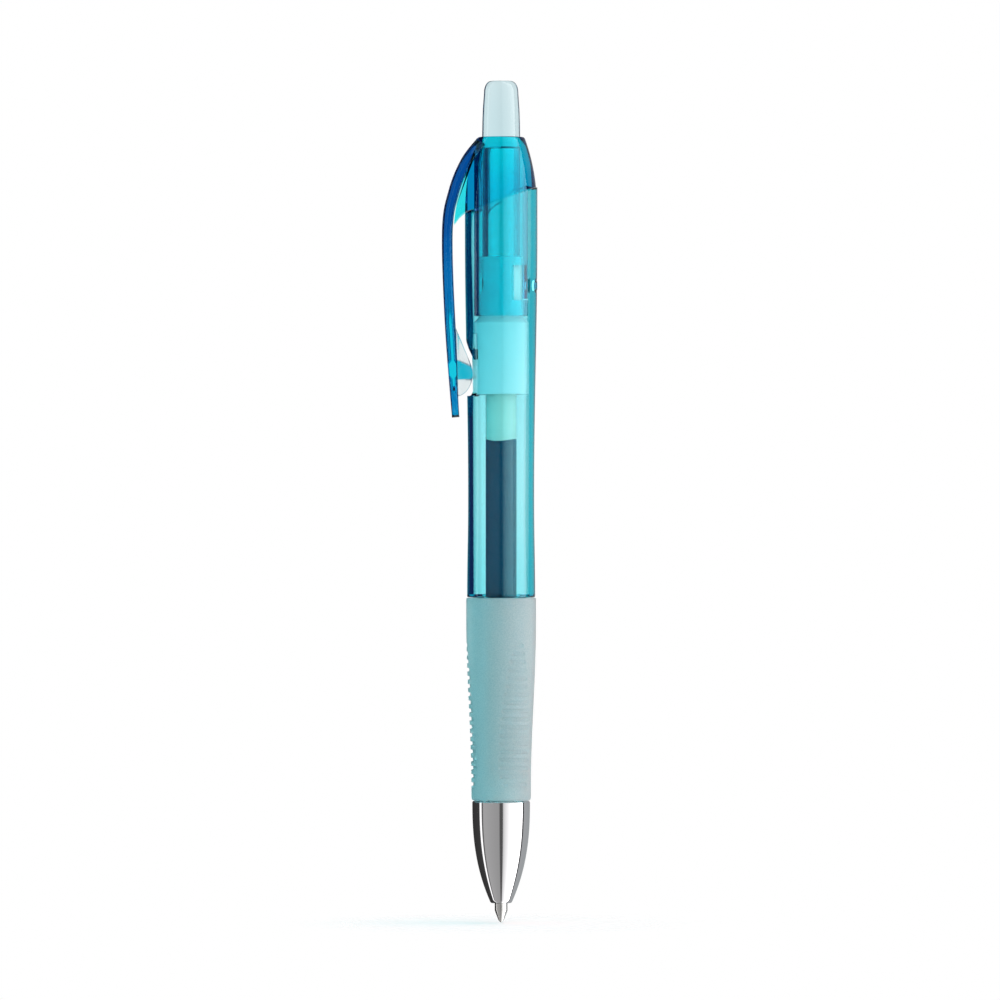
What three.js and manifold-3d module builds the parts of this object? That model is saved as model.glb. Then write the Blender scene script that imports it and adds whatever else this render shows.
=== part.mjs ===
// A retractable gel pen: clear tinted barrel and cap, rubber grip, bright nose cone, refill and click mechanism.
// Millimetres, +Z up. The pen stands on its ball, in the writing position, with its clip towards -X.
// Every piece is drawn around the pen's own axis; the outer group then centres the pen's box on the origin.

import * as THREE from 'three';
import { mergeVertices } from 'three/addons/utils/BufferGeometryUtils.js';
import Module from 'manifold-3d';

const wasm = await Module();
wasm.setup();

// ---- Driving dimensions ----

// Lengths along the axis, from the ball upwards
const TIP_OUT = 3.4; // point standing out of the nose cone
const NOSE_LENGTH = 17.9;
const GRIP_LENGTH = 35.6;
const BARREL_LENGTH = 69.55; // grip to the middle of the barrel's oblique top
const CAP_LENGTH = 10.95; // middle of the oblique joint to the cap's top
const BUTTON_OUT = 9.8; // button above the cap
const STROKE = 5.5; // travel from writing to retracted
const OVER_TRAVEL = 0.8; // extra travel when the button is pressed home

// Radii of the outside
const NOSE_MOUTH_R = 1.82;
const NOSE_R = 5.05;
const GRIP_LOW_R = 5.2;
const GRIP_HIGH_R = 6.1;
const BARREL_FOOT_R = 5.95;
const BARREL_WAIST_R = 5.77;
const BARREL_R = 6.34;
const CAP_TOP_R = 4.07;
const BUTTON_R = 3.33;
const BUTTON_TOP_R = 1.8;

// Walls and bores
const BARREL_WALL = 0.8; // at the waist
const BORE_R = BARREL_WAIST_R - BARREL_WALL;
const FOOT_BORE_R = BORE_R - 0.22; // narrower at the barrel's floor, for draft
const FLOOR = 0.6; // barrel's floor, a thin ring above the grip
const STEM_R = 4.35; // barrel's stem inside the grip
const STEM_BORE_R = 3.3;
const THREAD_R = 3.9;
const THREAD_LENGTH = 6.9;
const MOUTH_BORE_R = 1.25;
const BUTTON_BORE_R = 2.35;
const CAP_RIM = 2.2; // height of the cap's narrow bore, level with the solid part of the resting button
const SPIGOT_WALL = 0.76;
const HOUSING_WALL = 0.92;
const NECK_WALL = 0.4;
const TUBE_R = 2.7;
const TUBE_WALL = 0.5;
const SHANK_R = 1.12;
const BALL_R = 0.35;
const WIRE_R = 0.22;

// Clearances
const SEAM = 0.1; // between faces that meet end to end
const FIT = 0.1; // between round pieces that nest
const RUN = 0.12; // between round pieces that slide or turn

// Cap and clip
const CAP_SLANT = 0.355; // rise of the oblique joint per millimetre across
const CLIP_RISE = 3.96; // barrel's surface to the clip's outermost face
const CLIP_REACH = BARREL_R + CLIP_RISE;
const CLIP_THICKNESS = 1.8;
const CLIP_WIDTH = 9;
const CLIP_TAIL_WIDTH = 5.4;
const CLIP_LENGTH = 49.1; // cap's top to the clip's end
const CLIP_SPLIT = 18.8; // cap's top down to where the clip starts to flex
const CLIP_GAP = 0.3;
const NOSE_WIDTH = 5.2; // the clip's nose, across
const SPIGOT_LENGTH = 20.35; // below the middle of the oblique joint
const NUB_R = 1.15;

// Click mechanism
const RIBS = 4;
const TEETH = 8;
const TOOTH = 0.6; // height of a crown tooth
const RIB_ANGLE = 14; // rotor rib, degrees
const LAND_ANGLE = 36; // ledge in the housing, degrees
const TURN = 45; // rotor turn over the stroke, degrees

// ---- Heights worked out from them ----

const Z_MOUTH = TIP_OUT;
const Z_GRIP = Z_MOUTH + NOSE_LENGTH;
const Z_BARREL = Z_GRIP + GRIP_LENGTH;
const Z_JOINT = Z_BARREL + BARREL_LENGTH;
const Z_CAP = Z_JOINT + CAP_LENGTH;
const Z_TOP = Z_CAP + BUTTON_OUT;
const Z_SPIGOT = Z_JOINT - SPIGOT_LENGTH;
const Z_NUB = Z_SPIGOT + 5.3;
const SPIGOT_R = BORE_R - 2.5 * FIT;
const SPIGOT_BORE_R = SPIGOT_R - SPIGOT_WALL;

const HOUSING_R = BORE_R - FIT;
const HOUSING_BORE_R = HOUSING_R - HOUSING_WALL;
const NECK_R = SPIGOT_BORE_R - FIT;
const NECK_BORE_R = BUTTON_R + RUN;
const HOUSING_LENGTH = 13.5;
const Z_SHOULDER = Z_SPIGOT - 0.2;
const Z_HOUSING = Z_SHOULDER - HOUSING_LENGTH;
const Z_NECK = Z_SHOULDER + 10.5;
const Z_CHAMBER = Z_SHOULDER - (HOUSING_R - NECK_R) - 0.05;

// The stack inside the chamber, from its roof down: everything is as high as it can be once retracted
const BUTTON_RIB = 0.9;
const Z_BUTTON_RIB = Z_CHAMBER - FIT - STROKE - BUTTON_RIB;
const Z_ROTOR_CROWN = Z_BUTTON_RIB - 2 * TOOTH - FIT;
const ROTOR_HEIGHT = 2.4;
const Z_ROTOR = Z_ROTOR_CROWN - TOOTH - ROTOR_HEIGHT;
const ROTOR_CUP = 0.9;
const RIB_R = HOUSING_BORE_R - 0.12;
const LAND_R = HOUSING_BORE_R - 0.7;
const DRUM_R = LAND_R - RUN;
const HELIX = STROKE / TURN; // rise per degree of turn

const Z_TUBE = Z_GRIP - 0.3;
const Z_TUBE_TOP = Z_ROTOR - 0.05;
const TUBE_BORE_R = TUBE_R - TUBE_WALL;
const Z_INK = Z_TUBE + 4.1;
const INK_LENGTH = 59.3;
const FOLLOWER_LENGTH = Math.min(9, Z_TUBE_TOP - Z_INK - INK_LENGTH - 0.5);
const FLANGE = 2;
const Z_SPRING_SEAT = Z_MOUTH + 4.2;
const HOLDER_R = 1.5;
const COIL_R = HOLDER_R + 2 * WIRE_R + 0.25;
const SOCKET_R = COIL_R + WIRE_R + 0.25;

const RING = 32; // sides of a round piece

// ---- Geometry helpers ----

// A closed geometry as a manifold solid with its faces pointing out
function solid(geometry) {
  const bare = geometry.clone();
  bare.deleteAttribute('normal');
  bare.deleteAttribute('uv');
  const merged = mergeVertices(bare, 1e-5);
  const at = merged.attributes.position.array;
  const index = merged.index.array;
  const triangles = [];
  let volume = 0;
  for (let i = 0; i < index.length; i += 3) {
    const [a, b, c] = [index[i], index[i + 1], index[i + 2]];
    if (a === b || b === c || a === c) continue;
    triangles.push(a, b, c);
    const corner = (k) => new THREE.Vector3().fromArray(at, 3 * k);
    volume += corner(a).dot(corner(b).cross(corner(c)));
  }
  if (volume < 0) triangles.reverse();
  return new wasm.Manifold(new wasm.Mesh({
    numProp: 3,
    vertProperties: new Float32Array(at),
    triVerts: new Uint32Array(triangles),
  }));
}

// A named mesh from a manifold solid
function piece(name, body, material) {
  const { vertProperties, triVerts } = body.getMesh();
  const geometry = new THREE.BufferGeometry();
  geometry.setAttribute('position', new THREE.BufferAttribute(vertProperties, 3));
  geometry.setIndex(new THREE.BufferAttribute(triVerts, 1));
  geometry.computeVertexNormals();
  const mesh = new THREE.Mesh(geometry, material);
  mesh.name = name;
  return mesh;
}

// A profile of [radius, height] points turned around the axis; it closes on itself unless it starts on the axis
function turned(profile) {
  const points = profile.map(([r, z]) => new THREE.Vector2(r, z));
  if (profile[0][0] > 0) points.push(points[0].clone());
  return solid(new THREE.LatheGeometry(points, RING).rotateX(Math.PI / 2));
}

// A round sleeve or, with no inner radius, a round bar
function sleeve(inner, outer, low, high) {
  return turned([[inner, low], [outer, low], [outer, high], [inner, high]]);
}

// Part of a ring between two angles in degrees, with bottom and top heights that may vary with the angle
function sector({ inner, outer, from, to, low, high, steps = 4 }) {
  const full = to - from === 360;
  const position = [];
  for (let i = 0; i <= steps; i++) {
    const angle = from + ((to - from) * i) / steps;
    const [c, s] = [Math.cos(THREE.MathUtils.degToRad(angle)), Math.sin(THREE.MathUtils.degToRad(angle))];
    for (const [r, z] of [[inner, low(angle)], [outer, low(angle)], [outer, high(angle)], [inner, high(angle)]]) {
      position.push(full && i === steps ? r : r * c, full && i === steps ? 0 : r * s, z);
    }
  }
  const index = [];
  for (let i = 0; i < steps; i++) {
    for (let k = 0; k < 4; k++) {
      const [a, b] = [4 * i + k, 4 * i + ((k + 1) % 4)];
      index.push(a, a + 4, b, b, a + 4, b + 4);
    }
  }
  const end = 4 * steps;
  if (!full) index.push(0, 1, 2, 0, 2, 3, end, end + 2, end + 1, end, end + 3, end + 2);
  const geometry = new THREE.BufferGeometry();
  geometry.setAttribute('position', new THREE.Float32BufferAttribute(position, 3));
  geometry.setIndex(index);
  return solid(geometry);
}

// An [x, z] outline made into a slab of the given width across Y
function sideSlab(outline, width) {
  const shape = new THREE.Shape(outline.map(([x, z]) => new THREE.Vector2(x, z)));
  const geometry = new THREE.ExtrudeGeometry(shape, { depth: width, bevelEnabled: false });
  return solid(geometry.rotateX(Math.PI / 2).translate(0, width / 2, 0));
}

// A [y, z] outline made into a slab from the axis out to -X
function frontSlab(outline, reach) {
  const shape = new THREE.Shape(outline.map(([y, z]) => new THREE.Vector2(y, z)));
  const geometry = new THREE.ExtrudeGeometry(shape, { depth: reach, bevelEnabled: false });
  return solid(geometry.rotateX(Math.PI / 2).rotateZ(Math.PI / 2).translate(-reach, 0, 0));
}

// A round bar along X
function crossPin(radius, from, to, z) {
  const geometry = new THREE.CylinderGeometry(radius, radius, to - from, 20);
  return solid(geometry.rotateZ(Math.PI / 2).translate((from + to) / 2, 0, z));
}

const ease = (u) => (1 - Math.cos(Math.PI * THREE.MathUtils.clamp(u, 0, 1))) / 2;
const heights = (from, to, steps) => Array.from({ length: steps + 1 }, (_, i) => from + ((to - from) * i) / steps);
const always = (value) => () => value;
const quarters = Array.from({ length: RIBS }, (_, i) => (360 / RIBS) * i);
const union = (bodies) => bodies.reduce((whole, body) => whole.add(body));

// ---- Outside profiles ----

function noseRadius(z) {
  const down = (Z_GRIP - z) / NOSE_LENGTH;
  return NOSE_R - (NOSE_R - NOSE_MOUTH_R) * Math.max(down, 0) ** 2.5;
}

function gripRadius(z) {
  return GRIP_LOW_R + (GRIP_HIGH_R - GRIP_LOW_R) * ease((z - Z_GRIP - 1.7) / (GRIP_LENGTH - 5.6));
}

// The barrel narrows to a waist a quarter of the way up and swells again to its top
function barrelRadius(z) {
  const up = (z - Z_BARREL) / BARREL_LENGTH;
  const foot = (BARREL_FOOT_R - BARREL_WAIST_R) * (1 - ease(up / 0.24));
  return BARREL_WAIST_R + foot + (BARREL_R - BARREL_WAIST_R) * ease((up - 0.26) / 0.66);
}

function capRadius(z) {
  const up = Math.max((z - Z_JOINT + 3.45) / (CAP_LENGTH + 3.45), 0);
  return BARREL_R - (BARREL_R - CAP_TOP_R) * up ** 2.4;
}

// ---- Materials ----

function plastic(colour, opacity, roughness = 0.12) {
  return new THREE.MeshStandardMaterial({
    color: colour, roughness, metalness: 0, opacity, transparent: opacity < 1,
  });
}
const metal = (colour, roughness) => new THREE.MeshStandardMaterial({ color: colour, roughness, metalness: 1 });

const clear = plastic('#e3ecee', 0.45);
const tint = plastic('#2fd0e4', 0.4);
const deepTint = plastic('#0a9be0', 0.6);
const milky = plastic('#9fe3ea', 0.85, 0.4);
const mint = plastic('#7fe3cf', 0.9, 0.3);
const ink = plastic('#16384a', 1, 0.25);
const rubber = plastic('#b9d3d8', 0.8, 0.55);
const nickel = metal('#c9c9cc', 0.12);
const steel = metal('#b8babd', 0.25);

// ---- Pieces of the outside ----

function noseCone() {
  const outside = heights(Z_GRIP - SEAM, Z_MOUTH, 8).map((z) => [noseRadius(z), z]);
  const z_thread = Z_GRIP - THREAD_LENGTH - SEAM;
  return turned([
    ...outside,
    [MOUTH_BORE_R, Z_MOUTH],
    [MOUTH_BORE_R, Z_SPRING_SEAT],
    [SOCKET_R, Z_SPRING_SEAT],
    [SOCKET_R, z_thread - 1.2],
    [THREAD_R + FIT, z_thread],
    [THREAD_R + FIT, Z_GRIP - SEAM],
  ]);
}

function grip() {
  const top = Z_BARREL - SEAM;
  const corner = 0.5;
  const outside = heights(Z_GRIP + corner, top - 0.2, 9).map((z) => [gripRadius(z), z]);
  return turned([
    [STEM_R + FIT, Z_GRIP],
    [gripRadius(Z_GRIP) - corner, Z_GRIP],
    [gripRadius(Z_GRIP) - 0.15, Z_GRIP + 0.15],
    ...outside,
    [gripRadius(top) - 0.2, top],
    [STEM_R + FIT, top],
  ]);
}

// Everything above the cap's oblique lower edge, lifted by the given amount
function aboveJoint(lift) {
  const far = 20;
  const edge = (x) => Z_JOINT + CAP_SLANT * x + lift;
  return sideSlab([[-far, edge(-far)], [far, edge(far)], [far, 2 * Z_TOP], [-far, 2 * Z_TOP]], 2 * far);
}

// The window's outline, seen from the side: a ramp in the wall, then the opening for the clip's nose
const WINDOW = { low: Z_HOUSING - 0.3, high: Z_HOUSING + 6, ramp: 3.6, width: 6.7 };

function barrel() {
  const outside = heights(Z_BARREL, Z_JOINT + CAP_SLANT * BARREL_R, 11).map((z) => [barrelRadius(z), z]);
  const stemEnd = Z_GRIP - THREAD_LENGTH;
  const wall = turned([
    [STEM_BORE_R, stemEnd],
    [THREAD_R, stemEnd],
    [THREAD_R, Z_GRIP],
    [STEM_R, Z_GRIP],
    [STEM_R, Z_BARREL],
    ...outside,
    [BORE_R, Z_JOINT + CAP_SLANT * BARREL_R],
    [BORE_R, Z_HOUSING - 2],
    [FOOT_BORE_R, Z_BARREL + FLOOR],
    [STEM_BORE_R, Z_BARREL + FLOOR],
  ]);
  const lip = sector({
    inner: KEY_R + FIT, outer: BORE_R + 0.4, from: 180 - KEY_ANGLE, to: 180 + KEY_ANGLE,
    low: always(WINDOW.high + 0.05), high: always(WINDOW.high + 1.8),
  });
  const face = barrelRadius(WINDOW.high + WINDOW.ramp);
  const scoop = sideSlab([
    [-2 * BARREL_R, WINDOW.low],
    [-KEY_R + 1, WINDOW.low],
    [-KEY_R + 1, WINDOW.high],
    [-KEY_R - 0.35, WINDOW.high],
    [-BORE_R - 0.25, WINDOW.high + 0.8],
    [-face + 0.45, WINDOW.high + 2],
    [-face, WINDOW.high + WINDOW.ramp],
    [-2 * BARREL_R, WINDOW.high + WINDOW.ramp],
  ], WINDOW.width);
  const hole = crossPin(NUB_R + 0.15, BORE_R - 1, BARREL_R + 1, Z_NUB);
  return wall.add(lip).subtract(scoop).subtract(hole).subtract(aboveJoint(-SEAM));
}

// ---- Cap and clip ----

const CLIP_END = Z_CAP - CLIP_LENGTH;
const Z_SPLIT = Z_CAP - CLIP_SPLIT;
const Z_ARCH = Z_CAP - 15.9; // top of the gap between clip and barrel

// The clip's outer face from the cap's top to its end, as [x, z]
function clipFace(inset, steps) {
  const reach = CLIP_REACH - inset;
  const curve = new THREE.SplineCurve([
    new THREE.Vector2(-CAP_TOP_R + inset, Z_CAP - 0.1),
    new THREE.Vector2(-0.675 * reach, Z_CAP - 4),
    new THREE.Vector2(-0.88 * reach, Z_CAP - 9.3),
    new THREE.Vector2(-reach, Z_CAP - 16.4),
    new THREE.Vector2(-0.955 * reach, Z_CAP - 32.4),
    new THREE.Vector2(-8.6 + 0.7 * inset, CLIP_END),
  ]);
  return curve.getSpacedPoints(steps).map((p) => [p.x, p.y]);
}

// Seen from the front: wide at the root, a narrower arm and a round end
function clipOutline() {
  const half = CLIP_WIDTH / 2;
  const tail = CLIP_TAIL_WIDTH / 2;
  const round = heights(0, 90, 5).map((a) => {
    const angle = THREE.MathUtils.degToRad(a);
    return [tail * Math.cos(angle), CLIP_END + 3.7 * (1 - Math.sin(angle))];
  });
  const right = [
    [0.82 * half, Z_CAP],
    [half, Z_CAP - 2.6],
    [half, Z_ARCH + 1],
    [0.8 * half, Z_SPLIT],
    [0.6 * half + 0.7, Z_SPLIT - 5],
    [0.3 * half + 0.6 * tail, Z_SPLIT - 18],
    ...round,
  ];
  const left = right.slice(0, -1).reverse().map(([y, z]) => [-y, z]);
  return frontSlab([...right, ...left], 2 * CLIP_REACH);
}

// The arm's inner face is flat from just below the split to the nose, where a pocket's edge is held
const FLAT_X = -CLIP_REACH + CLIP_THICKNESS + 0.15;
const FLAT_LEAN = 0.45;
const Z_FLAT = Z_SPLIT - 1;
const Z_NOSE_TOP = Z_HOUSING + 11.7;

function clipArm() {
  const outer = clipFace(0, 20);
  const inner = clipFace(CLIP_THICKNESS, 20).filter(([, z]) => z > Z_FLAT + 0.5);
  const below = [[FLAT_X, Z_FLAT], [FLAT_X + FLAT_LEAN, Z_NOSE_TOP], [-7.3, CLIP_END]];
  return sideSlab([...outer, ...below.reverse(), ...inner.reverse()], 2 * CLIP_WIDTH).intersect(clipOutline());
}

function aboveHeight(z) {
  const far = 30;
  return sideSlab([[-far, z], [far, z], [far, 2 * Z_TOP], [-far, 2 * Z_TOP]], 2 * far);
}

// The box-shaped root between cap and clip: an outer skin and two side webs, hollow between and open below
function clipRoot() {
  const outer = clipFace(0, 22).filter(([, z]) => z > Z_ARCH - 1);
  const joint = (x) => [x, Z_JOINT + CAP_SLANT * x + SEAM];
  const web = sideSlab([
    ...outer,
    [-CLIP_REACH + CLIP_THICKNESS, Z_ARCH - 0.6],
    [-CLIP_REACH + 2.6, Z_ARCH + 1.2],
    [-CLIP_REACH + 3.4, Z_ARCH + 2],
    joint(-BARREL_R),
    joint(-SPIGOT_R),
    [-SPIGOT_R, Z_CAP - 1],
    [-CAP_TOP_R + 0.3, Z_CAP - 0.5],
  ], 2 * CLIP_WIDTH).intersect(clipOutline());
  const skin = clipFace(CLIP_THICKNESS, 22).filter(([, z]) => z > Z_ARCH - 3 && z < Z_CAP - 4.6);
  const hollow = sideSlab([...skin, [-BARREL_R, Z_ARCH - 3], [-BARREL_R, Z_CAP - 7]], NOSE_WIDTH);
  return web.subtract(hollow);
}

function cap() {
  const top = 0.35;
  const outside = heights(Z_JOINT - 4, Z_CAP - top, 9).map((z) => [capRadius(z), z]);
  const shell = turned([
    [SPIGOT_BORE_R, Z_JOINT - 4],
    ...outside,
    [capRadius(Z_CAP) - top, Z_CAP],
    [BUTTON_R + RUN, Z_CAP],
    [BUTTON_R + RUN, Z_CAP - CAP_RIM],
    [SPIGOT_BORE_R, Z_CAP - CAP_RIM - 0.4],
  ]).intersect(aboveJoint(0));
  const spigot = sleeve(SPIGOT_BORE_R, SPIGOT_R, Z_SPIGOT, Z_JOINT + 3);
  const window = sector({
    inner: SPIGOT_BORE_R - 1, outer: SPIGOT_R + 1, from: -64, to: 64, steps: 16,
    low: always(Z_SPIGOT + 2.7), high: always(Z_SPIGOT + 8.8),
  });
  const tongue = sector({
    inner: SPIGOT_BORE_R, outer: SPIGOT_R, from: -25, to: 25,
    low: always(Z_SPIGOT + 3), high: always(Z_SPIGOT + 9.5),
  });
  const nub = crossPin(NUB_R, SPIGOT_R - 0.3, BARREL_R - 0.02, Z_NUB);
  const arm = clipArm().intersect(aboveHeight(Z_SPLIT + CLIP_GAP / 2));
  const outsideSpigot = sleeve(0, SPIGOT_BORE_R, Z_SPIGOT - 1, Z_TOP);
  const root = union([clipRoot(), arm]).subtract(outsideSpigot);
  return union([shell, spigot.subtract(window), tongue, nub, root]);
}

// The clip's nose: a straight lead-in, a round apex and a round return
function clipNose() {
  const apex = [-BORE_R, WINDOW.high - 2.4];
  return sideSlab([
    [FLAT_X - 0.5, Z_NOSE_TOP],
    [FLAT_X + FLAT_LEAN, Z_NOSE_TOP],
    [apex[0] - 0.3, apex[1] + 1.8],
    apex,
    [apex[0] - 0.2, apex[1] - 1.2],
    [apex[0] - 0.75, apex[1] - 2.5],
    [apex[0] - 1.6, apex[1] - 3.4],
    [apex[0] - 2.8, apex[1] - 3.9],
    [-0.88 * CLIP_REACH, apex[1] - 3.9],
  ], NOSE_WIDTH);
}

function clip() {
  const arm = clipArm().subtract(aboveHeight(Z_SPLIT - CLIP_GAP / 2));
  return arm.add(clipNose());
}

// ---- Click mechanism ----

const KEY_R = HOUSING_BORE_R + 0.4;
const KEY_ANGLE = 38;

// A height that climbs with the angle as the rotor does on its way up
const climb = (middle, z) => (angle) => z + HELIX * (angle - middle);

function camHousing() {
  const shell = turned([
    [HOUSING_BORE_R, Z_HOUSING],
    [HOUSING_R, Z_HOUSING],
    [HOUSING_R, Z_SHOULDER - (HOUSING_R - NECK_R)],
    [NECK_R, Z_SHOULDER],
    [NECK_R, Z_NECK],
    [NECK_BORE_R, Z_NECK],
    [NECK_BORE_R, Z_CHAMBER],
    [HOUSING_BORE_R, Z_CHAMBER],
  ]);
  const lands = quarters.map((middle) => sector({
    inner: LAND_R, outer: HOUSING_BORE_R + 0.1, from: middle - LAND_ANGLE / 2, to: middle + LAND_ANGLE / 2,
    low: climb(middle, Z_ROTOR_CROWN - 0.6), high: always(Z_CHAMBER + 0.1),
  }));
  const keyway = sector({
    inner: KEY_R, outer: HOUSING_R + 1, from: 180 - KEY_ANGLE - 2, to: 180 + KEY_ANGLE + 2, steps: 8,
    low: always(Z_HOUSING + 2.7), high: always(Z_HOUSING + 10.6),
  });
  const block = sector({
    inner: KEY_R - 0.1, outer: HOUSING_R - 0.2, from: 161, to: 199,
    low: always(Z_HOUSING + 8.1), high: always(Z_HOUSING + 10.8),
  });
  const scoopR = 4;
  const scoop = new THREE.CylinderGeometry(scoopR, scoopR, 4 * NECK_R, 32);
  scoop.translate(-NECK_R - scoopR + 1.1, 0, Z_SHOULDER + 5.8);
  return union([shell, ...lands]).subtract(keyway).add(block).subtract(solid(scoop));
}

// Saw teeth around a ring, as a height above z
function sawTooth(z) {
  const pitch = 360 / TEETH;
  return (angle) => {
    const along = (((angle % pitch) + pitch) % pitch) / pitch;
    return z + TOOTH * (1 - Math.abs(2 * along - 1));
  };
}

function camRotor() {
  const drum = sleeve(TUBE_BORE_R, DRUM_R, Z_ROTOR, Z_ROTOR_CROWN - TOOTH);
  const cup = sleeve(TUBE_R + 0.08, DRUM_R, Z_ROTOR - ROTOR_CUP, Z_ROTOR + 0.2);
  const crown = sector({
    inner: TUBE_BORE_R, outer: DRUM_R, from: 0, to: 360, steps: 2 * TEETH,
    low: always(Z_ROTOR_CROWN - TOOTH - 0.2), high: sawTooth(Z_ROTOR_CROWN - TOOTH),
  });
  const ribs = quarters.map((middle) => sector({
    inner: DRUM_R - 0.2, outer: RIB_R, from: middle - RIB_ANGLE / 2, to: middle + RIB_ANGLE / 2,
    low: always(Z_ROTOR), high: climb(middle, Z_ROTOR_CROWN - 0.6 - RUN),
  }));
  const seat = sleeve(TUBE_BORE_R - 0.4, DRUM_R - 0.2, Z_ROTOR + 0.1, Z_ROTOR + 1);
  return union([drum, cup.subtract(sleeve(0, TUBE_R + 0.08, Z_ROTOR - 2, Z_ROTOR)), crown, seat, ...ribs]);
}

function pushButton() {
  const z_slim = Z_CHAMBER + OVER_TRAVEL + 0.3;
  const z_round = Z_TOP - 2;
  const roundOff = heights(0, 80, 6).map((a) => {
    const angle = THREE.MathUtils.degToRad(a);
    return [BUTTON_TOP_R + 1.2 * Math.cos(angle), z_round + 2 * Math.sin(angle)];
  });
  const shank = turned([
    [0, Z_TOP],
    [BUTTON_TOP_R, Z_TOP],
    ...roundOff.reverse(),
    [0.93 * BUTTON_R, Z_TOP - 4.3],
    [BUTTON_R - 0.03, Z_TOP - 7],
    [BUTTON_R, Z_CAP],
    [BUTTON_R, z_slim],
    [DRUM_R, z_slim - 0.3],
    [DRUM_R, Z_BUTTON_RIB],
    [BUTTON_BORE_R, Z_BUTTON_RIB],
    [BUTTON_BORE_R, Z_CAP - CAP_RIM],
    [0, Z_CAP - CAP_RIM],
  ]);
  const crown = sector({
    inner: BUTTON_BORE_R, outer: DRUM_R, from: 0, to: 360, steps: 2 * TEETH,
    low: (angle) => sawTooth(Z_BUTTON_RIB - TOOTH)(angle), high: always(Z_BUTTON_RIB + 0.2),
  });
  const ribs = quarters.map((middle) => sector({
    inner: DRUM_R - 0.2, outer: RIB_R, from: middle + 24, to: middle + 66,
    low: always(Z_BUTTON_RIB), high: always(Z_BUTTON_RIB + BUTTON_RIB),
  }));
  return union([shank, crown, ...ribs]);
}

// ---- Refill ----

const refillTube = () => sleeve(TUBE_BORE_R, TUBE_R, Z_TUBE, Z_TUBE_TOP);
const inkColumn = () => sleeve(0, TUBE_BORE_R - 0.02, Z_INK + 0.02, Z_INK + INK_LENGTH);

function follower() {
  const low = Z_INK + INK_LENGTH + 0.02;
  return sleeve(0, TUBE_BORE_R - 0.02, low, low + FOLLOWER_LENGTH);
}

const Z_FLANGE = Z_TUBE - SEAM - FLANGE;
const Z_SHANK_TOP = Z_FLANGE - 2;

function tipHolder() {
  const z_low = Z_SPRING_SEAT + OVER_TRAVEL + 2.6;
  return turned([
    [SHANK_R + 0.02, z_low],
    [HOLDER_R - 0.2, z_low],
    [HOLDER_R, z_low + 0.4],
    [HOLDER_R, Z_FLANGE],
    [TUBE_R, Z_FLANGE],
    [TUBE_R, Z_TUBE - SEAM],
    [TUBE_BORE_R - 0.02, Z_TUBE - SEAM],
    [TUBE_BORE_R - 0.02, Z_INK - 0.02],
    [0.6, Z_INK - 0.02],
    [0.6, Z_SHANK_TOP + 0.05],
    [SHANK_R + 0.02, Z_SHANK_TOP + 0.05],
  ]);
}

function writingTip() {
  const lip = 0.3;
  const seat = BALL_R + 0.02;
  return turned([
    [seat, lip],
    [seat + 0.06, lip],
    [SHANK_R, 2.05],
    [SHANK_R, Z_SHANK_TOP],
    [0.45, Z_SHANK_TOP],
    [0.45, 2.6],
    [0.22, 1.6],
    [0.22, 0.85],
    [seat, 0.7],
  ]);
}

const writingBall = () => solid(new THREE.SphereGeometry(BALL_R, 24, 12).rotateX(Math.PI / 2).translate(0, 0, BALL_R));

// Closed end turns and an open helix between them, seated between the nose cone and the refill's flange
function returnSpring() {
  const turns = 9;
  const low = Z_SPRING_SEAT + WIRE_R + 0.03;
  const high = Z_FLANGE - WIRE_R - 0.03;
  const endTurn = 1.1;
  const dead = 2.2 * WIRE_R;
  const path = new THREE.Curve();
  path.getPoint = (t, target = new THREE.Vector3()) => {
    const turn = t * turns;
    const open = THREE.MathUtils.clamp((turn - endTurn) / (turns - 2 * endTurn), 0, 1);
    const ends = (Math.min(turn, endTurn) + Math.max(turn - turns + endTurn, 0)) / endTurn;
    const z = low + dead * ends + (high - low - 2 * dead) * open;
    return target.set(COIL_R * Math.cos(2 * Math.PI * turn), COIL_R * Math.sin(2 * Math.PI * turn), z);
  };
  const wire = new THREE.Shape(heights(0, 300, 5).map((a) => {
    const angle = THREE.MathUtils.degToRad(a);
    return new THREE.Vector2(WIRE_R * Math.cos(angle), WIRE_R * Math.sin(angle));
  }));
  return solid(new THREE.ExtrudeGeometry(wire, { steps: 12 * turns, extrudePath: path }));
}

// ---- Assembly ----

const pen = new THREE.Group();
pen.position.x = (CLIP_REACH - BARREL_R) / 2;
pen.add(
  piece('push_button', pushButton(), clear),
  piece('cap', cap(), deepTint),
  piece('clip', clip(), deepTint),
  piece('barrel', barrel(), tint),
  piece('cam_housing', camHousing(), milky),
  piece('cam_rotor', camRotor(), milky),
  piece('refill_tube', refillTube(), clear),
  piece('grease_follower', follower(), mint),
  piece('ink_column', inkColumn(), ink),
  piece('tip_holder', tipHolder(), milky),
  piece('writing_tip', writingTip(), steel),
  piece('writing_ball', writingBall(), steel),
  piece('return_spring', returnSpring(), steel),
  piece('grip', grip(), rubber),
  piece('nose_cone', noseCone(), nickel),
);

export default pen;
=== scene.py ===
"""A retractable gel pen, drawn around its CAD frame.

Clear tinted barrel and cap, milky click housing, gel refill, frosted ribbed grip and bright nose cone.
"""

import math

import bmesh
import bpy
from mathutils import Matrix, Vector


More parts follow.
